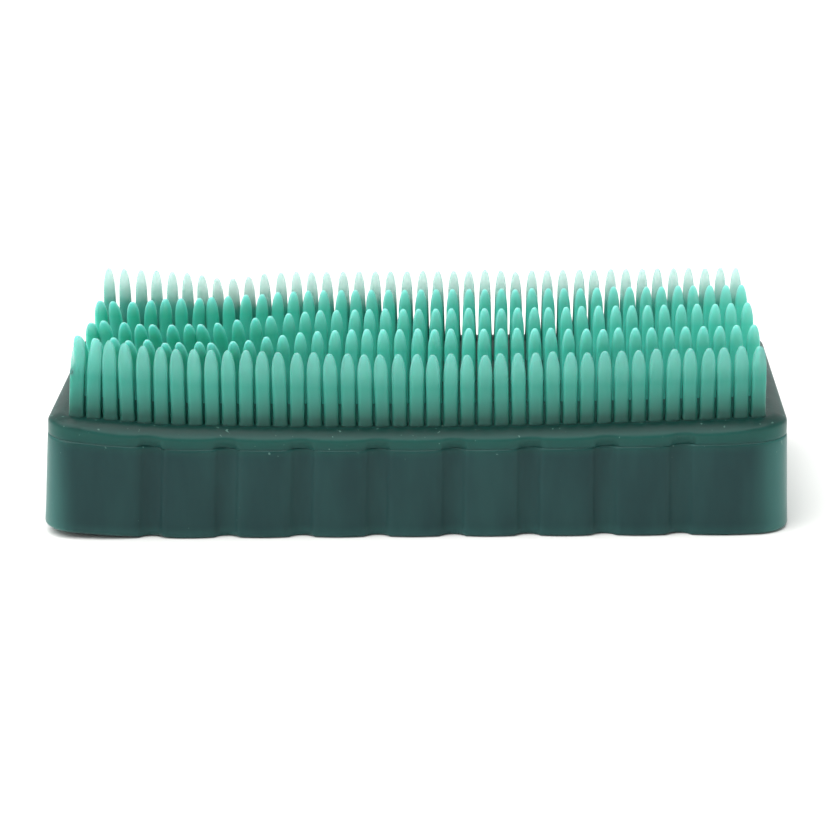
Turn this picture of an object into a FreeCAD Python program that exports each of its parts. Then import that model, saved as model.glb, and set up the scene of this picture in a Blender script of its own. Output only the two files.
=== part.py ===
import FreeCAD, Part
import math
import os

# A rubber bristle block. A solid, fluted lower block carries a thin plate, and rows of close-set, flexible
# fingers stand on the plate. The long sides have shallow upright flutes with wider lobes between them.
# The origin is at the middle of the underside: +X along the block, +Y towards its back, +Z up.
# All sizes are in millimetres.

# The block's outline
block_length = 127.0
block_width = 62.0
seam_height = 16.5
wall_draft_deg = 2.3
corner_radius = 6.3
foot_chamfer_width = 0.45
foot_chamfer_height = 0.6

# The flutes of the long sides
flute_pitch = 13.0
flute_width = 4.5
flute_depth = 0.6
lobe_crown = 0.35

# The plate that carries the fingers
plate_thickness = 3.7
seam_ledge = 0.08
rim_width = 2.6
rim_height = 1.8

# The finger rows
row_count = 5
finger_pitch = 2.92
finger_height = 13.2
finger_root_width = 2.55
finger_shoulder_width = 2.4
finger_root_depth = 3.0
finger_shoulder_depth = 2.4
finger_tip_depth = 1.2
tip_height = 4.2

# Flat plate between the rim and the outermost fingers, at the rows' ends and along the sides
end_land = 1.2
side_land = 0.9

# Each row's round foot, which turns in a groove of the plate
foot_shoulder = 0.1
groove_clearance = 0.05
groove_end_clearance = 0.2

# Worked out from the sizes above
plate_top = seam_height + plate_thickness
shoulder_height = finger_height - tip_height
foot_radius = finger_root_depth / 2 + foot_shoulder
groove_radius = foot_radius + groove_clearance
row_room = block_length - 2 * (rim_width + end_land) - finger_root_width
finger_count = int(row_room / finger_pitch) + 1
foot_length = (finger_count - 1) * finger_pitch + finger_root_width
row_pitch = (block_width - 2 * (rim_width + side_land + groove_radius)) / (row_count - 1)
flute_count = int((block_length - 2 * corner_radius) / flute_pitch)


def draft_at(height):
    """How much further out the walls stand at a height than they do at the plate's top."""
    return (plate_top - height) * math.tan(math.radians(wall_draft_deg))


def point(x, y, z=0.0):
    return FreeCAD.Vector(x, y, z)


def arc(start, middle, end):
    return Part.Arc(start, middle, end).toShape()


def line(start, end):
    return Part.LineSegment(start, end).toShape()


def long_side(growth):
    """The front side's lobes and flutes, from its left corner to its right corner."""
    lobe_end_y = -(block_width / 2 + growth - lobe_crown)
    left = -(block_length / 2 + growth - corner_radius)
    edges = []
    start = point(left, lobe_end_y)
    for index in range(flute_count + 1):
        last = index == flute_count
        flute_centre = (index - (flute_count - 1) / 2) * flute_pitch
        end_x = -left if last else flute_centre - flute_width / 2
        end = point(end_x, lobe_end_y)
        crown = point((start.x + end_x) / 2, lobe_end_y - lobe_crown)
        edges.append(arc(start, crown, end))
        if not last:
            start = point(flute_centre + flute_width / 2, lobe_end_y)
            edges.append(arc(end, point(flute_centre, lobe_end_y + flute_depth), start))
    return edges


def fluted_outline(growth, height):
    """The closed outline with its fluted long sides, standing out by growth, at a height."""
    side = block_length / 2 + growth
    front = block_width / 2 + growth - lobe_crown
    bend = corner_radius * (1 - math.cos(math.radians(45)))
    corner_x = side - corner_radius
    corner_y = front - corner_radius
    edges = long_side(growth)
    edges.append(arc(point(corner_x, -front), point(side - bend, bend - front), point(side, -corner_y)))
    edges.append(line(point(side, -corner_y), point(side, corner_y)))
    edges.append(arc(point(side, corner_y), point(side - bend, front - bend), point(corner_x, front)))
    for edge in reversed(long_side(growth)):
        back = edge.mirror(point(0, 0), point(0, 1))
        edges.append(back)
    edges.append(arc(point(-corner_x, front), point(bend - side, front - bend), point(-side, corner_y)))
    edges.append(line(point(-side, corner_y), point(-side, -corner_y)))
    edges.append(arc(point(-side, -corner_y), point(bend - side, bend - front), point(-corner_x, -front)))
    outline = Part.Wire(Part.__sortEdges__(edges))
    outline.translate(point(0, 0, height))
    return outline


def fluted_solid(sections):
    """A solid through fluted outlines, each given as how far it stands out and its height."""
    wires = [fluted_outline(growth, height) for growth, height in sections]
    return Part.makeLoft(wires, True, True)


def base_block():
    foot_growth = draft_at(foot_chamfer_height)
    sections = [
        (foot_growth - foot_chamfer_width, 0.0),
        (foot_growth, foot_chamfer_height),
        (draft_at(seam_height), seam_height),
    ]
    return fluted_solid(sections)


def plain_outline(inset, height):
    """The closed outline with straight sides and no flutes, lying inset from the plate's, at a height."""
    half_length = block_length / 2 + draft_at(seam_height) - inset
    half_width = block_width / 2 + draft_at(seam_height) - inset
    radius = corner_radius - inset
    corners = []
    for quarter, (side_x, side_y) in enumerate([(1, 1), (-1, 1), (-1, -1), (1, -1)]):
        centre = point(side_x * (half_length - radius), side_y * (half_width - radius), height)
        corners.append(Part.makeCircle(radius, centre, point(0, 0, 1), 90 * quarter, 90 * quarter + 90))
    edges = []
    for corner, following in zip(corners, corners[1:] + corners[:1]):
        edges.append(corner)
        edges.append(line(corner.Vertexes[-1].Point, following.Vertexes[0].Point))
    return Part.Wire(edges)


def plain_rim():
    """The plate's outer form with no flutes: straight sides under a sloping rim."""
    sections = [(0.0, seam_height), (0.0, plate_top - rim_height), (rim_width, plate_top)]
    return Part.makeLoft([plain_outline(inset, height) for inset, height in sections], True, True)


def row_y(index):
    return (index - (row_count - 1) / 2) * row_pitch


def groove(index):
    """The space that one row's foot turns in."""
    length = foot_length + 2 * groove_end_clearance
    start = point(-length / 2, row_y(index), plate_top)
    return Part.makeCylinder(groove_radius, length, start, point(1, 0, 0))


def bristle_plate():
    sections = [
        (draft_at(seam_height) - seam_ledge, seam_height),
        (draft_at(plate_top) - seam_ledge, plate_top),
    ]
    plate = fluted_solid(sections).common(plain_rim())
    grooves = [groove(index) for index in range(row_count)]
    return plate.cut(Part.makeCompound(grooves)).Solids[0]


def front_view():
    """A finger from the front: a tapered blade that ends in a long half ellipse."""
    root_left = point(-finger_root_width / 2, 0)
    root_right = point(finger_root_width / 2, 0)
    shoulder_right = point(finger_shoulder_width / 2, 0, shoulder_height)
    shoulder_left = point(-finger_shoulder_width / 2, 0, shoulder_height)
    tip = point(0, 0, finger_height)
    oval = Part.Ellipse(tip, shoulder_right, point(0, 0, shoulder_height))
    edges = [
        line(root_left, root_right),
        line(root_right, shoulder_right),
        Part.ArcOfEllipse(oval, -math.pi / 2, math.pi / 2).toShape(),
        line(shoulder_left, root_left),
    ]
    return Part.Face(Part.Wire(Part.__sortEdges__(edges)))


def side_view():
    """A finger from the side: tapered to the shoulder, then more steeply to a thin tip."""
    outline = [
        point(0, -finger_root_depth / 2),
        point(0, finger_root_depth / 2),
        point(0, finger_shoulder_depth / 2, shoulder_height),
        point(0, finger_tip_depth / 2, finger_height),
        point(0, -finger_tip_depth / 2, finger_height),
        point(0, -finger_shoulder_depth / 2, shoulder_height),
    ]
    return Part.Face(Part.makePolygon(outline + outline[:1]))


def finger():
    """One finger with its root at the origin: where its front view and its side view meet."""
    from_front = front_view()
    from_front.translate(point(0, -finger_root_depth, 0))
    from_side = side_view()
    from_side.translate(point(-finger_root_width, 0, 0))
    across = from_front.extrude(point(0, 2 * finger_root_depth, 0))
    along = from_side.extrude(point(2 * finger_root_width, 0, 0))
    return across.common(along)


def finger_row(index):
    """One row: its fingers in one piece with the round foot that lies in the plate's groove."""
    foot_start = point(-foot_length / 2, row_y(index), plate_top)
    foot = Part.makeCylinder(foot_radius, foot_length, foot_start, point(1, 0, 0))
    pattern = finger()
    fingers = []
    for place in range(finger_count):
        copy = pattern.copy()
        x = (place - (finger_count - 1) / 2) * finger_pitch
        copy.translate(point(x, row_y(index), plate_top))
        fingers.append(copy)
    return foot.fuse(fingers).removeSplitter().Solids[0]


def main():
    os.makedirs("parts", exist_ok=True)
    base_block().exportStep("parts/base_block.step")
    bristle_plate().exportStep("parts/bristle_plate.step")
    for index in range(row_count):
        finger_row(index).exportStep(f"parts/finger_row_{index + 1}.step")


main()
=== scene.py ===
import math
import random
from typing import NamedTuple

import bmesh
import bpy
from bpy.props import FloatProperty, FloatVectorProperty, IntProperty, PointerProperty
from mathutils import Matrix, Vector
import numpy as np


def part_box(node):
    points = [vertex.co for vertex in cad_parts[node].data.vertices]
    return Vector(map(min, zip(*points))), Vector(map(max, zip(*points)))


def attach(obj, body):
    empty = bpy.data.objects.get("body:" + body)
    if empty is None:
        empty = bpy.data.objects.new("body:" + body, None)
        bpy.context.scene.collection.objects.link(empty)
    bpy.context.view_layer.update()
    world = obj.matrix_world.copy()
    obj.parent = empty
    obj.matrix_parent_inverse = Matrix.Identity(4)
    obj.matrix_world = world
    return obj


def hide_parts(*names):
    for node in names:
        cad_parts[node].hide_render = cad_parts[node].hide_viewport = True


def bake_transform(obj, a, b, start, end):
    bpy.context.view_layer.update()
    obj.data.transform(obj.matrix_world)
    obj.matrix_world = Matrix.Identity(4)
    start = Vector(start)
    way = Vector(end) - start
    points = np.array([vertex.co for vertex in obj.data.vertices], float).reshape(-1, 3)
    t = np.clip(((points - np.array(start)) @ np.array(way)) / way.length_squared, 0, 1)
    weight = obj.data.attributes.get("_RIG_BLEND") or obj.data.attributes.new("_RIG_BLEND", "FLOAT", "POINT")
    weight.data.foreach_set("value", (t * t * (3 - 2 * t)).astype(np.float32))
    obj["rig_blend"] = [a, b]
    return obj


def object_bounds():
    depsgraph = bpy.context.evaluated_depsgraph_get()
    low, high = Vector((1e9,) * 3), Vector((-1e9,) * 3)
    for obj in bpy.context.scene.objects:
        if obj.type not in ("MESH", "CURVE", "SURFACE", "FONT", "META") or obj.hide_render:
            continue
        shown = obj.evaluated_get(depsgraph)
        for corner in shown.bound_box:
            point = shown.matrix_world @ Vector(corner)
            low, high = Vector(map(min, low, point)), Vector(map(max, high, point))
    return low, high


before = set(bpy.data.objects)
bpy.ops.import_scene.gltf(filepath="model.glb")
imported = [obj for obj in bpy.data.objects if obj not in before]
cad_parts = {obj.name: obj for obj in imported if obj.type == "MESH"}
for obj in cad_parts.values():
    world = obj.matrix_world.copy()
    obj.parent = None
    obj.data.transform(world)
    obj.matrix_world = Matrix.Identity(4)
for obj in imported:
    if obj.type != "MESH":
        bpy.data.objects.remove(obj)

bl_info = {
    "name": "Rubber Bristle Block",
    "version": (1, 0, 0),
    "blender": (4, 5, 0),
    "location": "3D View > Sidebar > Bristle Block",
    "description": "Models a fluted rubber block with rows of flexible fingers on top",
    "category": "Object",
}

# ------------------------------------------------------------------ places taken from the parts in model.glb

MM = 0.001
CAD_LOW, CAD_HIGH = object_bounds()
BLOCK_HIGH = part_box("base_block")[1]
PLATE_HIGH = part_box("bristle_plate")[1]
SEAM_Z = BLOCK_HIGH.z
PLATE_TOP = PLATE_HIGH.z
FINGER_TIP = CAD_HIGH.z
ROW_NODES = sorted(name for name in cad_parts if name.startswith("finger_row_"))


def row_place(node):
    """The row's middle depth and the half length that its fingers fill."""
    low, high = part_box(node)
    return (low.y + high.y) / 2, (high.x - low.x) / 2


# ------------------------------------------------------------------ how soft rubber lies at rest

class Drift(NamedTuple):
    """A drift of the finger tips that grows from one place along a row to another, in mm."""

    amount: float
    start: float
    end: float


class Dip(NamedTuple):
    """A few fingers round one place along a row that lean forward together, in mm."""

    amount: float
    middle: float
    width: float


# How far the tips have drifted forward in each row, from the front row to the back one
FORWARD_DRIFTS = (
    (Drift(2.3, -50, 5), Drift(-1.6, -44, -60)),
    (Drift(1.7, 5, 40), Drift(5.2, -8, -36)),
    (Drift(5.2, -12, -46), Drift(0.9, -5, -30)),
    (Drift(3.6, -14, -42), Drift(2.4, -40, -60)),
    (),
)
BACK_ROW_DIPS = (Dip(3.3, -36, 6), Dip(1.3, 17.5, 2))
BACK_ROW_BACKWARD = 0.2

# How far the tips of some rows have drifted to the right, and how far the front row's stand taller
RIGHT_DRIFTS = {0: Drift(0.9, -50, -58), 3: Drift(0.5, -18, -34)}
FRONT_ROW_RISE = Drift(0.4, -40, -56)

# How unevenly the tips stand, in mm: to the sides, to the sides where inner rows are matted, and deep
SIDE_UNREST = 0.13
MATTED_SIDE_UNREST = 0.3
MATTED_BEFORE = -34
DEPTH_UNREST = 0.2

# How slim each row's fingers are below their tips, from the front row to the back one
SLIMNESS = (1.0, 0.96, 0.94, 0.92, 0.85)

# How bright the fingers look beside each other, and how much brighter the inner rows are painted, as painted
# light standing in for the light passing between the rows, with a little more at their left end, where they
# are matted
TINTS = (0.97, 1.03)
INNER_PAINTED_LIGHT = 1.12
MATTED_PAINTED_LIGHT = 0.1
MATTED_FROM = -10 * MM
MATTED_TO = -40 * MM

# Rings of the block: steps round its foot, and shares of the wall's height above that
FOOT_STEPS = 5
WALL_SHARES = (0.25, 0.5, 0.75, 0.97, 1.0)

# Rings of the plate: shares of its wall's height, and the steps in from its edge over the rim, in mm
PLATE_WALL_SHARES = (0.35, 0.7, 1.0)
RIM_STEPS = (0.5, 0.4, 0.4, 0.45, 0.5, 0.5)
PLATE_EDGE_BEVEL = 0.4 * MM
PLATE_CUTS = 15

# How much the flutes have faded at the top of the plate's wall, and again at its edge
WALL_FLUTE_FADE = 0.45
EDGE_FLUTE_FADE = 0.5

# How the rim's slope steepens towards the plate's edge
RIM_STEEPENING = 1.3

# How much less the plate's rim slopes at the ends, and how far from each end that starts and stops
FLATTER_RIM = 0.35
FLATTER_FROM = 14 * MM
FLATTER_TO = 2 * MM

# How far along the block, from its middle, the left end starts to curl up
CURL_START = -40 * MM


def is_inner(row):
    """Whether a row stands between other rows, counting from 0 at the front."""
    return 0 < row < len(ROW_NODES) - 1


def fade(value, start, end):
    """Rise smoothly from 0 at start to 1 at end, which may lie either way round."""
    share = min(1.0, max(0.0, (value - start) / (end - start)))
    return share * share * (3 - 2 * share)


def drift_at(drift, along):
    """How far a drift has moved the tips at a place along the row, in mm."""
    return drift.amount * fade(along, drift.start, drift.end)


def dip_at(dip, along):
    """How far a dip has moved the tips at a place along the row, in mm."""
    return dip.amount * math.exp(-((along - dip.middle) / dip.width) ** 2)


# ------------------------------------------------------------------ colours

def linear(hex_colour):
    """An sRGB hex colour as linear red, green and blue."""
    parts = [int(hex_colour[place:place + 2], 16) / 255 for place in (1, 3, 5)]
    return tuple(p / 12.92 if p <= 0.04045 else ((p + 0.055) / 1.055) ** 2.4 for p in parts)


def length_property(name, description, size_mm):
    return FloatProperty(name=name, description=description, default=size_mm * MM, unit="LENGTH")


def colour_property(name, description, hex_colour):
    return FloatVectorProperty(
        name=name, description=description, default=linear(hex_colour), subtype="COLOR",
        min=0.0, max=1.0,
    )


# ------------------------------------------------------------------ what a user would change

class BlockSizes(bpy.types.PropertyGroup):
    """Sizes of the fluted block and of the plate on it."""

    corner_radius: length_property("Corner radius", "Radius of the upright corners", 6.3)
    flute_pitch: length_property("Flute pitch", "Distance from one flute to the next", 13.0)
    flute_width: length_property("Flute width", "Width of each flute", 4.5)
    flute_depth: length_property("Flute depth", "Depth of each flute behind the lobes' ends", 1.15)
    lobe_crown: length_property("Lobe crown", "How far each lobe swells out", 0.35)
    foot_round: length_property("Foot round", "Radius of the bottom edge", 0.9)
    wall_draft: FloatProperty(
        name="Wall draft", description="Lean of the walls", default=math.radians(2.3),
        subtype="ANGLE",
    )
    rim_width: length_property("Rim width", "Width of the plate's sloping rim", 2.6)
    rim_height: length_property("Rim height", "Drop of the plate's sloping rim", 1.8)
    seam_ledge: length_property("Seam ledge", "Step where the plate meets the block", 0.06)
    sag: length_property("Sag", "How far the top sinks at the middle of its front", 1.6)
    drift: length_property("Drift", "How far the soft top has crept to the right", 0.5)
    curl: length_property("Curl", "How far the left end curls up off the floor", 1.1)


class FingerSizes(bpy.types.PropertyGroup):
    """Sizes of the flexible fingers."""

    count: IntProperty(name="Fingers in a row", description="Fingers in each row", default=41)
    root_width: length_property("Root width", "Width of a finger at its root", 2.62)
    shoulder_width: length_property("Shoulder width", "Width of a finger below its tip", 2.57)
    root_depth: length_property("Root depth", "Depth of a finger at its root", 2.9)
    tip_depth: length_property("Tip depth", "Depth of a finger near its tip", 1.9)
    tip_length: length_property("Tip length", "Length of a finger's oval tip", 4.9)
    root_flare: length_property("Root flare", "How far a finger's root spreads", 0.16)


class RubberColours(bpy.types.PropertyGroup):
    """Colours of the moulded rubber, with the painted light on its ends, foot and thin tips and the painted
    shade between its fingers.
    """

    block_deep: colour_property("Block", "Deep teal of the thick block", "#133435")
    # Painted light: the lighter teal painted on the block's ends and foot, where light lights them up.
    block_edge_light: colour_property("Block edges", "Lighter teal of the thinner edges", "#3a6d68")
    rim: colour_property("Rim", "Green of the plate's rim", "#174f47")
    # Painted shade: the dark green painted on the plate between the fingers, where the fingers shade it.
    trough_shade: colour_property("Trough", "Dark green of the plate between the fingers", "#0b2f2a")
    speck: colour_property("Specks", "Pale dust caught on the rim", "#6f968c")
    root: colour_property("Finger roots", "Shaded green of the roots", "#0f4239")
    finger: colour_property("Fingers", "Green of the fingers", "#4cb8a6")
    # Painted light: the pale green painted on the thin tips, where light from behind shines through them.
    tip: colour_property("Finger tips", "Pale green of the thin tips", "#8ed4ca")
    floor: colour_property("Floor", "Plain pale floor", "#ececea")


# ------------------------------------------------------------------ mesh helpers

def finished_piece(bm, name, material, smooth=True):
    """Turn a bmesh into a finished object at the origin."""
    bmesh.ops.recalc_face_normals(bm, faces=bm.faces)
    mesh = bpy.data.meshes.new(name)
    bm.to_mesh(mesh)
    bm.free()
    for face in mesh.polygons:
        face.use_smooth = smooth
    piece = bpy.data.objects.new(name, mesh)
    bpy.context.collection.objects.link(piece)
    mesh.materials.append(material)
    return piece


def sweep(bm, start, centre, angle, steps):
    """Sweep a vertex round an upright axis, and give the arc's last vertex."""
    made = bmesh.ops.spin(
        bm, geom=[start], cent=centre, axis=(0, 0, 1), dvec=(0, 0, 0), angle=angle, steps=steps,
        use_merge=False, use_normal_flip=False, use_duplicate=False,
    )
    return next(item for item in made["geom_last"] if isinstance(item, bmesh.types.BMVert))


def shallow_arc(bm, start, width, rise, steps):
    """Draw an arc of a given width in +X that swells towards -Y by rise, or +Y if negative."""
    radius = (width ** 2 / 4 + rise ** 2) / (2 * abs(rise))
    angle = 2 * math.asin(width / (2 * radius))
    side = 1 if rise > 0 else -1
    centre = start.co + Vector((width / 2, side * (radius - abs(rise)), 0))
    return sweep(bm, start, centre, side * angle, steps)


def fluted_outline(bm, sizes, half_length, half_width, height):
    """Draw the closed outline with lobes and flutes on its long sides, and fill it with a face."""
    corner_x = half_length - sizes.corner_radius
    front = half_width - sizes.lobe_crown
    flutes = int(2 * corner_x / sizes.flute_pitch)
    end_lobe = corner_x - (flutes - 1) / 2 * sizes.flute_pitch - sizes.flute_width / 2
    lobe = sizes.flute_pitch - sizes.flute_width
    last = bm.verts.new((-corner_x, -front, height))
    for index in range(flutes + 1):
        width = end_lobe if index in (0, flutes) else lobe
        last = shallow_arc(bm, last, width, sizes.lobe_crown, steps=10)
        if index < flutes:
            last = shallow_arc(bm, last, sizes.flute_width, -sizes.flute_depth, steps=8)
    corner_y = front - sizes.corner_radius
    last = sweep(bm, last, (corner_x, -corner_y, height), math.pi / 2, steps=12)
    made = bmesh.ops.extrude_vert_indiv(bm, verts=[last])
    last = made["verts"][0]
    last.co.y = corner_y
    sweep(bm, last, (corner_x, corner_y, height), math.pi / 2, steps=12)
    half_turn = Matrix.Rotation(math.pi, 3, "Z")
    other = bmesh.ops.duplicate(bm, geom=bm.verts[:] + bm.edges[:])
    other_verts = [item for item in other["geom"] if isinstance(item, bmesh.types.BMVert)]
    bmesh.ops.rotate(bm, verts=other_verts, cent=(0, 0, height), matrix=half_turn)
    bmesh.ops.remove_doubles(bm, verts=bm.verts, dist=0.01 * MM)
    made = bmesh.ops.contextual_create(bm, geom=bm.edges[:])
    return made["faces"][0]


def raise_ring(bm, face, height, grow_x, grow_y):
    """Extrude the top face to a height and scale it about the upright axis."""
    buried = all(len(edge.link_faces) > 1 for edge in face.edges)
    made = bmesh.ops.extrude_face_region(bm, geom=[face])
    top = next(item for item in made["geom"] if isinstance(item, bmesh.types.BMFace))
    if buried:
        bmesh.ops.delete(bm, geom=[face], context="FACES_ONLY")
    ring = top.verts[:]
    bmesh.ops.scale(bm, vec=(grow_x, grow_y, 1), verts=ring)
    for vert in ring:
        vert.co.z = height
    return top


def sag_at(sizes, place):
    """How far the soft top has sunk at a place: most at the middle of the front."""
    along = max(0.0, 1 - (place.x / BLOCK_HIGH.x) ** 2)
    towards_front = 0.5 - 0.5 * place.y / BLOCK_HIGH.y
    return sizes.sag * along * towards_front


def curl_at(sizes, place):
    """How far the soft block's left end has curled up at a place."""
    return sizes.curl * fade(place.x, CURL_START, -BLOCK_HIGH.x)


def let_sag(bm, sizes):
    """Let the block sink, curl and creep sideways, and keep the height it was moulded at."""
    moulded_height = bm.verts.layers.float.new("moulded_height")
    for vert in bm.verts:
        vert[moulded_height] = vert.co.z
        climb = vert.co.z / PLATE_TOP
        vert.co.z += curl_at(sizes, vert.co) - sag_at(sizes, vert.co) * climb ** 2
        vert.co.x += sizes.drift * (climb - 0.5)


# ------------------------------------------------------------------ materials

def add_node(tree, kind, values=None, links=None, **settings):
    """Add a shader node with its settings, its socket values and the links into it."""
    made = tree.nodes.new(kind)
    for name, value in settings.items():
        setattr(made, name, value)
    for socket, value in (values or {}).items():
        made.inputs[socket].default_value = value
    for socket, source in (links or {}).items():
        tree.links.new(source, made.inputs[socket])
    return made


def new_material(name):
    material = bpy.data.materials.new(name)
    material.use_nodes = True
    material.node_tree.nodes.clear()
    return material, material.node_tree


def rgba(colour):
    return (*colour, 1.0)


def moulded_block_rubber(colours):
    """Thick silicone rubber from a satin mould: nearly opaque and dark, with painted light making its ends
    and foot a lighter teal.
    """
    material, tree = new_material("moulded_silicone_block")
    place = add_node(tree, "ShaderNodeTexCoord").outputs["Object"]
    axes = add_node(tree, "ShaderNodeSeparateXYZ", links={0: place})
    height = add_node(tree, "ShaderNodeAttribute", attribute_name="moulded_height").outputs["Fac"]
    # Painted light: the ends and the foot are painted a lighter teal, as light through the rubber and off
    # its rounded edges would make them, and the right end a little more than the left.
    shifted = add_node(
        tree, "ShaderNodeMath", values={1: 0.7 * MM}, links={0: axes.outputs["X"]}, operation="ADD",
    )
    from_middle = add_node(
        tree, "ShaderNodeMath", links={0: shifted.outputs[0]}, operation="ABSOLUTE",
    )
    painted_end_light = add_node(
        tree, "ShaderNodeMapRange",
        values={"From Min": BLOCK_HIGH.x - 6.5 * MM, "From Max": BLOCK_HIGH.x + 0.3 * MM},
        links={"Value": from_middle.outputs[0]}, interpolation_type="SMOOTHSTEP",
    )
    painted_foot_light = add_node(
        tree, "ShaderNodeMapRange",
        values={"From Min": 2.4 * MM, "From Max": 0.0, "To Max": 0.2},
        links={"Value": height}, interpolation_type="SMOOTHSTEP",
    )
    painted_edge_light = add_node(
        tree, "ShaderNodeMath", links={0: painted_end_light.outputs[0], 1: painted_foot_light.outputs[0]},
        operation="ADD", use_clamp=True,
    )
    # Rubber flows down the mould's walls, so its faint cloudiness is drawn out upright.
    drawn_out = add_node(
        tree, "ShaderNodeMapping", values={"Scale": (1.0, 1.0, 0.25)}, links={"Vector": place},
    )
    cloud = add_node(
        tree, "ShaderNodeTexNoise", values={"Scale": 1 / (6 * MM), "Detail": 3.0},
        links={"Vector": drawn_out.outputs[0]},
    )
    mottled = add_node(
        tree, "ShaderNodeMapRange",
        values={"From Min": 0.2, "From Max": 0.8, "To Max": 0.16},
        links={"Value": cloud.outputs["Fac"]}, interpolation_type="SMOOTHSTEP",
    )
    amount = add_node(
        tree, "ShaderNodeMath", links={0: painted_edge_light.outputs[0], 1: mottled.outputs[0]},
        operation="ADD", use_clamp=True,
    )
    body = add_node(
        tree, "ShaderNodeMix",
        values={6: rgba(colours.block_deep), 7: rgba(colours.block_edge_light)},
        links={0: amount.outputs[0]}, data_type="RGBA",
    )
    near_seam = add_node(
        tree, "ShaderNodeMapRange",
        values={
            "From Min": SEAM_Z - 2 * MM, "From Max": PLATE_TOP - 2 * MM, "To Max": 0.75,
        },
        links={"Value": height}, interpolation_type="SMOOTHSTEP",
    )
    rimmed = add_node(
        tree, "ShaderNodeMix", values={7: rgba(colours.rim)},
        links={0: near_seam.outputs[0], 6: body.outputs[2]}, data_type="RGBA",
    )
    # Painted shade: the plate's top is darkened towards this dark green near the finger roots, where the
    # fingers shade it.
    painted_trough_shade = add_node(
        tree, "ShaderNodeMapRange",
        values={"From Min": PLATE_TOP - 2.0 * MM, "From Max": PLATE_TOP - 0.3 * MM, "To Max": 0.95},
        links={"Value": height}, interpolation_type="SMOOTHSTEP",
    )
    shaded = add_node(
        tree, "ShaderNodeMix", values={7: rgba(colours.trough_shade)},
        links={0: painted_trough_shade.outputs[0], 6: rimmed.outputs[2]}, data_type="RGBA",
    )
    # Dust of about half a millimetre sticks to the soft rim, and thins out down the walls.
    dust = add_node(
        tree, "ShaderNodeTexNoise", values={"Scale": 1 / (0.9 * MM), "Detail": 1.0},
        links={"Vector": place},
    )
    dusty = add_node(
        tree, "ShaderNodeMapRange",
        values={
            "From Min": SEAM_Z - 4 * MM, "From Max": PLATE_TOP, "To Min": 0.0, "To Max": 0.085,
        },
        links={"Value": height},
    )
    dust_left = add_node(
        tree, "ShaderNodeMath", links={0: dust.outputs["Fac"], 1: dusty.outputs[0]}, operation="ADD",
    )
    specks = add_node(
        tree, "ShaderNodeMapRange",
        values={"From Min": 0.8, "From Max": 0.85, "To Max": 0.4},
        links={"Value": dust_left.outputs[0]},
    )
    colour = add_node(
        tree, "ShaderNodeMix", values={7: rgba(colours.speck)},
        links={0: specks.outputs[0], 6: shaded.outputs[2]}, data_type="RGBA",
    )
    grain = add_node(
        tree, "ShaderNodeTexNoise", values={"Scale": 1 / (0.7 * MM), "Detail": 4.0},
        links={"Vector": place},
    )
    # Fine scuffs run along the parting line, 0.3 mm high and about a centimetre long.
    along_seam = add_node(
        tree, "ShaderNodeMapping", values={"Scale": (0.03, 0.1, 1.0)}, links={"Vector": place},
    )
    scuffs = add_node(
        tree, "ShaderNodeTexNoise", values={"Scale": 1 / (0.3 * MM), "Detail": 2.0},
        links={"Vector": along_seam.outputs[0]},
    )
    from_seam = add_node(
        tree, "ShaderNodeMath", values={1: SEAM_Z}, links={0: height}, operation="SUBTRACT",
    )
    off_seam = add_node(
        tree, "ShaderNodeMath", links={0: from_seam.outputs[0]}, operation="ABSOLUTE",
    )
    scuffed = add_node(
        tree, "ShaderNodeMapRange",
        values={"From Min": 1.4 * MM, "From Max": 0.1 * MM, "To Max": 3.0},
        links={"Value": off_seam.outputs[0]},
    )
    scuff_height = add_node(
        tree, "ShaderNodeMath", links={0: scuffs.outputs["Fac"], 1: scuffed.outputs[0]},
        operation="MULTIPLY",
    )
    relief = add_node(
        tree, "ShaderNodeMath", links={0: grain.outputs["Fac"], 1: scuff_height.outputs[0]},
        operation="ADD",
    )
    bump = add_node(
        tree, "ShaderNodeBump", values={"Strength": 0.2, "Distance": 0.08 * MM},
        links={"Height": relief.outputs[0]},
    )
    gloss = add_node(
        tree, "ShaderNodeMapRange",
        values={"From Min": 0.2, "From Max": 0.8, "To Min": 0.3, "To Max": 0.36},
        links={"Value": cloud.outputs["Fac"]}, interpolation_type="SMOOTHSTEP",
    )
    surface = add_node(
        tree, "ShaderNodeBsdfPrincipled",
        values={
            "IOR": 1.41, "Specular IOR Level": 0.27, "Subsurface Weight": 0.35,
            "Subsurface Scale": 2.0 * MM, "Subsurface Radius": (0.4, 1.0, 0.9),
        },
        links={
            "Base Color": colour.outputs[2], "Roughness": gloss.outputs[0],
            "Normal": bump.outputs[0],
        },
    )
    add_node(tree, "ShaderNodeOutputMaterial", links={"Surface": surface.outputs[0]})
    return material


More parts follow.
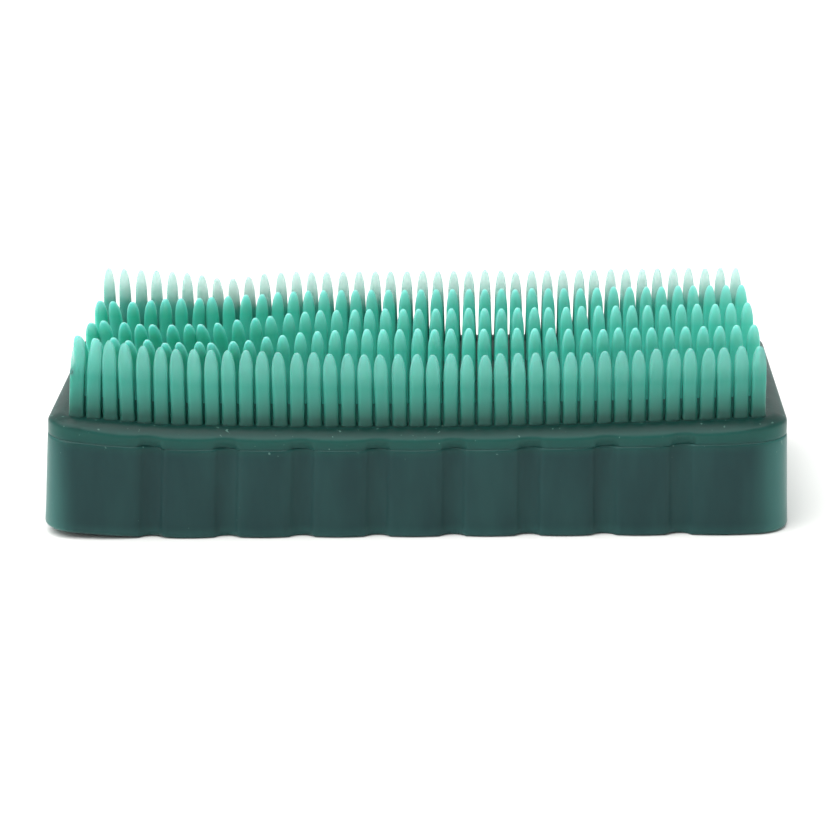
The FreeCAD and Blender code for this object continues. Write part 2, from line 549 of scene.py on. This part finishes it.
def finger_rubber(colours):
    """Thin silicone rubber: light scatters right through it, and the tips are part clear."""
    material, tree = new_material("moulded_silicone_fingers")
    place = add_node(tree, "ShaderNodeTexCoord").outputs["Object"]
    height = add_node(tree, "ShaderNodeAttribute", attribute_name="moulded_height").outputs["Fac"]
    out_of_shade = add_node(
        tree, "ShaderNodeMapRange",
        values={"From Min": PLATE_TOP - 0.5 * MM, "From Max": PLATE_TOP + 10.5 * MM},
        links={"Value": height},
    )
    thinning = add_node(
        tree, "ShaderNodeMapRange",
        values={"From Min": FINGER_TIP - 6.5 * MM, "From Max": FINGER_TIP - 0.5 * MM},
        links={"Value": height}, interpolation_type="SMOOTHSTEP",
    )
    tone_and_light = add_node(tree, "ShaderNodeAttribute", attribute_name="finger_tone_and_light")
    # Painted light: the inner rows are painted brighter from root to tip, as the light passing between the
    # rows would make them, and their tips are painted less pale and made less clear.
    crowding = add_node(
        tree, "ShaderNodeMapRange", values={"From Min": 1.04, "From Max": 1.09, "To Max": 0.4},
        links={"Value": tone_and_light.outputs["Fac"]},
    )
    lit = add_node(
        tree, "ShaderNodeMath", links={0: out_of_shade.outputs[0], 1: crowding.outputs[0]},
        operation="ADD", use_clamp=True,
    )
    lower = add_node(
        tree, "ShaderNodeMix", values={6: rgba(colours.root), 7: rgba(colours.finger)},
        links={0: lit.outputs[0]}, data_type="RGBA",
    )
    # Painted light: the thin tips are painted pale, as light from the bright floor behind shines through
    # them, and less so in the inner rows, where other fingers stand behind.
    painted_backlight = add_node(
        tree, "ShaderNodeMath", links={0: thinning.outputs[0], 1: crowding.outputs[0]},
        operation="SUBTRACT", use_clamp=True,
    )
    whole = add_node(
        tree, "ShaderNodeMix", values={7: rgba(colours.tip)},
        links={0: painted_backlight.outputs[0], 6: lower.outputs[2]}, data_type="RGBA",
    )
    # The tone attribute sets the brightness: random tone between fingers, and painted light on the inner
    # rows.
    colour = add_node(
        tree, "ShaderNodeHueSaturation",
        links={"Color": whole.outputs[2], "Value": tone_and_light.outputs["Fac"]},
    )
    clearness = add_node(
        tree, "ShaderNodeMapRange",
        values={
            "From Min": FINGER_TIP - 9.0 * MM, "From Max": FINGER_TIP - 1.0 * MM, "To Min": 1.0,
            "To Max": 0.4,
        },
        links={"Value": height}, interpolation_type="SMOOTHSTEP",
    )
    opacity = add_node(
        tree, "ShaderNodeMath", links={0: clearness.outputs[0], 1: crowding.outputs[0]},
        operation="ADD", use_clamp=True,
    )
    grain = add_node(
        tree, "ShaderNodeTexNoise", values={"Scale": 1 / (0.5 * MM), "Detail": 3.0},
        links={"Vector": place},
    )
    bump = add_node(
        tree, "ShaderNodeBump", values={"Strength": 0.1, "Distance": 0.05 * MM},
        links={"Height": grain.outputs["Fac"]},
    )
    surface = add_node(
        tree, "ShaderNodeBsdfPrincipled",
        values={
            "IOR": 1.41, "Roughness": 0.42, "Subsurface Weight": 0.85,
            "Subsurface Scale": 3.0 * MM, "Subsurface Radius": (0.5, 1.0, 0.85),
        },
        links={
            "Base Color": colour.outputs[0], "Alpha": opacity.outputs[0],
            "Normal": bump.outputs[0],
        },
    )
    add_node(tree, "ShaderNodeOutputMaterial", links={"Surface": surface.outputs[0]})
    return material


def painted_floor(colours):
    """A matt white studio sweep."""
    material, tree = new_material("matt_studio_floor")
    surface = add_node(
        tree, "ShaderNodeBsdfPrincipled",
        values={"Base Color": rgba(colours.floor), "Roughness": 0.9, "Specular IOR Level": 0.1},
    )
    add_node(tree, "ShaderNodeOutputMaterial", links={"Surface": surface.outputs[0]})
    return material


# ------------------------------------------------------------------ the pieces

class BRISTLE_OT_block(bpy.types.Operator):
    """Model the solid fluted block with its rounded foot."""

    bl_idname = "bristle.block"
    bl_label = "Block"

    def execute(self, context):
        sizes = context.scene.block_sizes
        half_length = BLOCK_HIGH.x
        half_width = BLOCK_HIGH.y
        bm = bmesh.new()
        face = fluted_outline(bm, sizes, half_length, half_width, 0.0)
        radius = sizes.foot_round
        bmesh.ops.scale(
            bm, vec=(1 - radius / half_length, 1 - radius / half_width, 1), verts=bm.verts,
        )
        reach = half_length - radius, half_width - radius
        rings = []
        for step in range(1, FOOT_STEPS + 1):
            turn = math.pi / 2 * step / FOOT_STEPS
            rings.append((radius * (1 - math.cos(turn)), -radius * (1 - math.sin(turn))))
        for share in WALL_SHARES:
            height = radius + (SEAM_Z - radius) * share
            rings.append((height, -height * math.tan(sizes.wall_draft)))
        rings[-1] = (SEAM_Z, rings[-1][1] - sizes.seam_ledge)
        for height, grow in rings:
            wanted = half_length + grow, half_width + grow
            face = raise_ring(bm, face, height, wanted[0] / reach[0], wanted[1] / reach[1])
            reach = wanted
        let_sag(bm, sizes)
        material = moulded_block_rubber(context.scene.rubber_colours)
        piece = finished_piece(bm, "fluted_block", material)
        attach(piece, "block")
        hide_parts("base_block")
        return {"FINISHED"}


def depth_inside(sizes, place):
    """How far a place on the plate lies inside its plain outline, which has no flutes."""
    radius = sizes.corner_radius
    over_x = max(0.0, abs(place.x) - (PLATE_HIGH.x - radius))
    over_y = max(0.0, abs(place.y) - (PLATE_HIGH.y - radius))
    if over_x and over_y:
        return radius - math.hypot(over_x, over_y)
    return min(PLATE_HIGH.x - abs(place.x), PLATE_HIGH.y - abs(place.y))


def rim_surface(sizes, place):
    """The height of the plate's top at a place: flat, and sloping down more and more at its rim."""
    share = min(1.0, max(0.0, depth_inside(sizes, place) / sizes.rim_width))
    # The rim slopes less round the corners and along the ends than along the sides.
    from_end = PLATE_HIGH.x - abs(place.x)
    flatter = FLATTER_RIM * fade(from_end, FLATTER_FROM, FLATTER_TO)
    return PLATE_TOP - sizes.rim_height * (1 - flatter) * (1 - share) ** RIM_STEEPENING


def fade_flutes(verts, sizes, amount):
    """Draw the long sides back towards a straight line, so that the flutes run out below the rim."""
    for vert in verts:
        if abs(vert.co.x) < PLATE_HIGH.x - sizes.corner_radius:
            straight = math.copysign(PLATE_HIGH.y - sizes.lobe_crown / 2, vert.co.y)
            vert.co.y += (straight - vert.co.y) * amount


class BRISTLE_OT_plate(bpy.types.Operator):
    """Model the plate with its sloping, wavy rim."""

    bl_idname = "bristle.plate"
    bl_label = "Plate"

    def execute(self, context):
        sizes = context.scene.block_sizes
        bm = bmesh.new()
        face = fluted_outline(bm, sizes, PLATE_HIGH.x, PLATE_HIGH.y, SEAM_Z)
        inwards = 1 - sizes.seam_ledge / PLATE_HIGH.x
        bmesh.ops.scale(bm, vec=(inwards, inwards, 1), verts=bm.verts)
        face = raise_ring(bm, face, SEAM_Z + sizes.seam_ledge, 1 / inwards, 1 / inwards)
        wall_top = PLATE_TOP - sizes.rim_height - PLATE_EDGE_BEVEL
        for share in PLATE_WALL_SHARES:
            face = raise_ring(bm, face, SEAM_Z + (wall_top - SEAM_Z) * share, 1, 1)
            fade_flutes(face.verts, sizes, WALL_FLUTE_FADE * share)
        face = raise_ring(bm, face, PLATE_TOP, 1, 1)
        fade_flutes(face.verts, sizes, EDGE_FLUTE_FADE)
        edge = face.edges[:]
        for vert in face.verts:
            vert.co.z = rim_surface(sizes, vert.co)
        for step in RIM_STEPS:
            bmesh.ops.inset_region(bm, faces=[face], thickness=step * MM, use_even_offset=True)
            for vert in face.verts:
                vert.co.z = rim_surface(sizes, vert.co)
        bmesh.ops.bevel(
            bm, geom=edge, offset=PLATE_EDGE_BEVEL, affect="EDGES", segments=3, profile=0.5,
            material=-1, clamp_overlap=True,
        )
        # Cuts across the plate let its wide top follow the sag.
        for cut in range(1 - PLATE_CUTS, PLATE_CUTS):
            everything = bm.verts[:] + bm.edges[:] + bm.faces[:]
            middle = (cut * PLATE_HIGH.x / PLATE_CUTS, 0, 0)
            bmesh.ops.bisect_plane(bm, geom=everything, plane_co=middle, plane_no=(1, 0, 0))
        let_sag(bm, sizes)
        material = moulded_block_rubber(context.scene.rubber_colours)
        piece = finished_piece(bm, "plate_and_rim", material)
        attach(piece, "block")
        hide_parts("bristle_plate")
        return {"FINISHED"}


FINGER_HEIGHT = FINGER_TIP - PLATE_TOP

# A finger's rings: how far it reaches down into the plate, the height of its flared root, and how far
# below the top its oval tip's rings lie, as shares of the tip's length
SUNK_ROOT = 0.5 * MM
FLARE_HEIGHT = 0.5 * MM
TIP_SHARES = (0.7, 0.42, 0.2, 0.06)

# A finger's corners, cut off at this share of its width and depth
CORNER_CUT = 0.13

# The powers of the oval that a finger's tip follows: 2 is an ellipse, and more is blunter
TIP_WIDTH_POWER = 2.2
TIP_DEPTH_POWER = 3

# How far up from the plate a row bends when it leans
BEND_HEIGHT = 6 * MM

# A soft finger bends more and more towards its tip, and its tip drops as it leans
BEND_POWER = 1.6
TIP_DROP = 1.2


def finger_pattern(sizes, slimness):
    """One upright finger, its root at the origin: an eight-sided blade that ends in an oval tip."""
    bm = bmesh.new()
    bmesh.ops.create_cube(bm, size=1.0)
    bmesh.ops.scale(bm, vec=(1, 1, 0.2 * MM), verts=bm.verts)
    bmesh.ops.translate(bm, vec=(0, 0, -SUNK_ROOT), verts=bm.verts)
    upright = [e for e in bm.edges if abs(e.verts[0].co.z - e.verts[1].co.z) > 0.1 * MM]
    bmesh.ops.bevel(
        bm, geom=upright, offset=CORNER_CUT, affect="EDGES", segments=1, profile=0.5, material=-1,
    )
    face = max(bm.faces, key=lambda f: f.calc_center_median().z)
    size = Vector((1.0, 1.0))
    shoulder = FINGER_HEIGHT - sizes.tip_length
    levels = [0.0, FLARE_HEIGHT, shoulder * 0.5, shoulder]
    levels += [FINGER_HEIGHT - sizes.tip_length * share for share in TIP_SHARES]
    for level in levels:
        climb = min(1.0, max(0.0, level / shoulder))
        width = sizes.root_width + (sizes.shoulder_width * slimness - sizes.root_width) * climb
        depth = sizes.root_depth + (sizes.tip_depth - sizes.root_depth) * level / FINGER_HEIGHT
        if level == 0.0:
            width += 2 * sizes.root_flare
            depth += 4 * sizes.root_flare
        if level > shoulder:
            beyond = (level - shoulder) / sizes.tip_length
            width *= math.sqrt(1 - beyond ** TIP_WIDTH_POWER)
            depth *= math.sqrt(1 - beyond ** TIP_DEPTH_POWER)
        face = raise_ring(bm, face, level, width / size.x, depth / size.y)
        size = Vector((width, depth))
        if level == 0.0:
            for vert in bm.verts:
                if vert.co.z < -0.1 * MM:
                    vert.co.x *= width
                    vert.co.y *= depth
    made = bmesh.ops.poke(bm, faces=[face])
    made["verts"][0].co.z = FINGER_HEIGHT
    bmesh.ops.recalc_face_normals(bm, faces=bm.faces)
    pattern = bpy.data.meshes.new("finger_pattern")
    bm.to_mesh(pattern)
    bm.free()
    return pattern


def rest_lean(row, place, draw):
    """How far a finger's tip has drifted from upright: to its right, to its back and up."""
    along = place / MM
    forward = sum(drift_at(drift, along) for drift in FORWARD_DRIFTS[row])
    if row == len(ROW_NODES) - 1:
        forward += sum(dip_at(dip, along) for dip in BACK_ROW_DIPS) - BACK_ROW_BACKWARD
    matted = is_inner(row) and along < MATTED_BEFORE
    aside = draw.gauss(0, MATTED_SIDE_UNREST if matted else SIDE_UNREST)
    if row in RIGHT_DRIFTS:
        aside += drift_at(RIGHT_DRIFTS[row], along)
    back = draw.gauss(0, DEPTH_UNREST) - forward
    rise = drift_at(FRONT_ROW_RISE, along) if row == 0 else 0.0
    return aside * MM, back * MM, rise * MM


def plant_finger(bm, pattern, root, lean, tone_and_light):
    """Add one finger at its root, bent so that its tip drifts by lean."""
    moulded_height = bm.verts.layers.float["moulded_height"]
    finger_tone_and_light = bm.verts.layers.float["finger_tone_and_light"]
    before = len(bm.verts)
    bm.from_mesh(pattern)
    bm.verts.ensure_lookup_table()
    aside, back, rise = lean
    drop = TIP_DROP * (aside ** 2 + back ** 2) / (2 * FINGER_HEIGHT)
    for vert in bm.verts[before:]:
        vert[moulded_height] = PLATE_TOP + vert.co.z
        vert[finger_tone_and_light] = tone_and_light
        climb = max(0.0, vert.co.z / FINGER_HEIGHT)
        bend = climb ** BEND_POWER
        vert.co += root + Vector((aside * bend, back * bend, (rise - drop) * bend))


# The burr's size, how far its middle lies inside the row's end, and its height above the plate
BURR_RADIUS = 0.55 * MM
BURR_INSIDE = 1.0 * MM
BURR_HEIGHT = 8.2 * MM


def add_burr(bm, depth, end):
    """Add the small moulding burr on the outer side of the front row's first finger."""
    made = bmesh.ops.create_icosphere(bm, subdivisions=2, radius=BURR_RADIUS)
    bmesh.ops.scale(bm, vec=(0.8, 0.9, 1.2), verts=made["verts"])
    middle = (end + BURR_INSIDE, depth, PLATE_TOP + BURR_HEIGHT)
    bmesh.ops.translate(bm, vec=middle, verts=made["verts"])
    for vert in made["verts"]:
        vert[bm.verts.layers.float["moulded_height"]] = vert.co.z
        vert[bm.verts.layers.float["finger_tone_and_light"]] = 0.8


class BRISTLE_OT_finger_rows(bpy.types.Operator):
    """Model each row of fingers, bent at rest as soft fingers are, and able to lean from its roots."""

    bl_idname = "bristle.finger_rows"
    bl_label = "Finger rows"

    def execute(self, context):
        block = context.scene.block_sizes
        sizes = context.scene.finger_sizes
        material = finger_rubber(context.scene.rubber_colours)
        draw = random.Random(41)
        for row, node in enumerate(ROW_NODES):
            depth, half_length = row_place(node)
            pattern = finger_pattern(sizes, SLIMNESS[row])
            pitch = (2 * half_length - sizes.root_width) / (sizes.count - 1)
            bm = bmesh.new()
            bm.verts.layers.float.new("moulded_height")
            bm.verts.layers.float.new("finger_tone_and_light")
            for index in range(sizes.count):
                place = (index - (sizes.count - 1) / 2) * pitch
                root = Vector((place, depth, PLATE_TOP))
                root.z += curl_at(block, root) - sag_at(block, root)
                root.x += block.drift / 2
                lean = rest_lean(row, place, draw)
                tone_and_light = draw.uniform(*TINTS)
                # Painted light: the inner rows' fingers are painted brighter, as light passing between the
                # rows would make them.
                if is_inner(row):
                    matted = fade(place, MATTED_FROM, MATTED_TO)
                    tone_and_light *= INNER_PAINTED_LIGHT + MATTED_PAINTED_LIGHT * matted
                plant_finger(bm, pattern, root, lean, tone_and_light)
            if row == 0:
                add_burr(bm, depth, -half_length)
            number = node.rsplit("_", 1)[1]
            piece = finished_piece(bm, f"fingers_{number}", material)
            round_off = piece.modifiers.new("rounding", "SUBSURF")
            round_off.levels = 1
            round_off.render_levels = 1
            start = (0, depth, PLATE_TOP - SUNK_ROOT)
            end = (0, depth, PLATE_TOP + BEND_HEIGHT)
            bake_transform(piece, "block", f"row_{number}", start=start, end=end)
            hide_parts(node)
            bpy.data.meshes.remove(pattern)
        return {"FINISHED"}


# ------------------------------------------------------------------ the stage

# Each sun's name, the place that it shines from, its strength and its angle in degrees
SUNS = (
    ("overhead_softness", (-0.26, -0.12, 1.0), 3.5, 80),
    ("left_fill", (-1.0, -0.5, 0.6), 0.5, 40),
)
SKY_STRENGTH = 0.62

# The camera: its lens, its place in mm, and its heading, tilt and roll in radians
LENS = 134.8
CAMERA_PLACE = (13.6, -543.6, 170.87)
HEADING = 0.0247
TILT = 0.2846
ROLL = -0.0140

def aim(thing, target, roll=0.0):
    """Turn a camera or light at the origin of its own axes so that it looks at a point."""
    direction = Vector(target) - thing.location
    turn = direction.to_track_quat("-Z", "Y").to_matrix()
    turn = turn @ Matrix.Rotation(roll, 3, "Z")
    thing.rotation_euler = turn.to_euler()


def add_sun(name, place, strength, softness):
    """Add a sun that shines from a place towards the block, as softly as its angle is wide."""
    light = bpy.data.lights.new(name, "SUN")
    light.energy = strength
    light.angle = math.radians(softness)
    lamp = bpy.data.objects.new(name, light)
    bpy.context.collection.objects.link(lamp)
    lamp.location = place
    aim(lamp, (0, 0, 0.01))


class BRISTLE_OT_stage(bpy.types.Operator):
    """Set out the pale floor, the soft light and the camera."""

    bl_idname = "bristle.stage"
    bl_label = "Stage"

    def execute(self, context):
        scene = context.scene
        bm = bmesh.new()
        bmesh.ops.create_grid(bm, x_segments=2, y_segments=2, size=4.0)
        mesh = bpy.data.meshes.new("floor")
        bm.to_mesh(mesh)
        bm.free()
        floor = bpy.data.objects.new("floor", mesh)
        context.collection.objects.link(floor)
        mesh.materials.append(painted_floor(scene.rubber_colours))

        world = bpy.data.worlds.new("studio")
        world.use_nodes = True
        tree = world.node_tree
        tree.nodes.clear()
        sky = add_node(
            tree, "ShaderNodeBackground", values={"Color": (1, 1, 1, 1), "Strength": SKY_STRENGTH},
        )
        add_node(tree, "ShaderNodeOutputWorld", links={"Surface": sky.outputs[0]})
        scene.world = world
        for sun in SUNS:
            add_sun(*sun)

        scene.view_settings.view_transform = "Standard"
        lens = bpy.data.cameras.new("camera")
        lens.lens = LENS
        lens.sensor_width = 36.0
        camera = bpy.data.objects.new("camera", lens)
        context.collection.objects.link(camera)
        camera.location = Vector(CAMERA_PLACE) * MM
        level = math.cos(TILT)
        forward = (-math.sin(HEADING) * level, math.cos(HEADING) * level, -math.sin(TILT))
        aim(camera, camera.location + Vector(forward), ROLL)
        scene.camera = camera
        return {"FINISHED"}


# ------------------------------------------------------------------ the panel and the run

class BRISTLE_PT_panel(bpy.types.Panel):
    """Lists the sizes, the colours and the pieces to build."""

    bl_idname = "BRISTLE_PT_panel"
    bl_label = "Bristle Block"
    bl_space_type = "VIEW_3D"
    bl_region_type = "UI"
    bl_category = "Bristle Block"

    def draw(self, context):
        scene = context.scene
        for group in (scene.block_sizes, scene.finger_sizes, scene.rubber_colours):
            box = self.layout.box()
            for name in group.__annotations__:
                box.prop(group, name)
        for operator in OPERATORS:
            self.layout.operator(operator.bl_idname)


GROUPS = {
    "block_sizes": BlockSizes,
    "finger_sizes": FingerSizes,
    "rubber_colours": RubberColours,
}
OPERATORS = (BRISTLE_OT_block, BRISTLE_OT_plate, BRISTLE_OT_finger_rows, BRISTLE_OT_stage)


def register():
    for name, group in GROUPS.items():
        bpy.utils.register_class(group)
        setattr(bpy.types.Scene, name, PointerProperty(type=group))
    for operator in OPERATORS:
        bpy.utils.register_class(operator)
    bpy.utils.register_class(BRISTLE_PT_panel)


def unregister():
    bpy.utils.unregister_class(BRISTLE_PT_panel)
    for operator in reversed(OPERATORS):
        bpy.utils.unregister_class(operator)
    for name, group in GROUPS.items():
        delattr(bpy.types.Scene, name)
        bpy.utils.unregister_class(group)


def main():
    register()
    bpy.ops.bristle.block()
    bpy.ops.bristle.plate()
    bpy.ops.bristle.finger_rows()
    bpy.ops.bristle.stage()


if __name__ == "__main__":
    main()
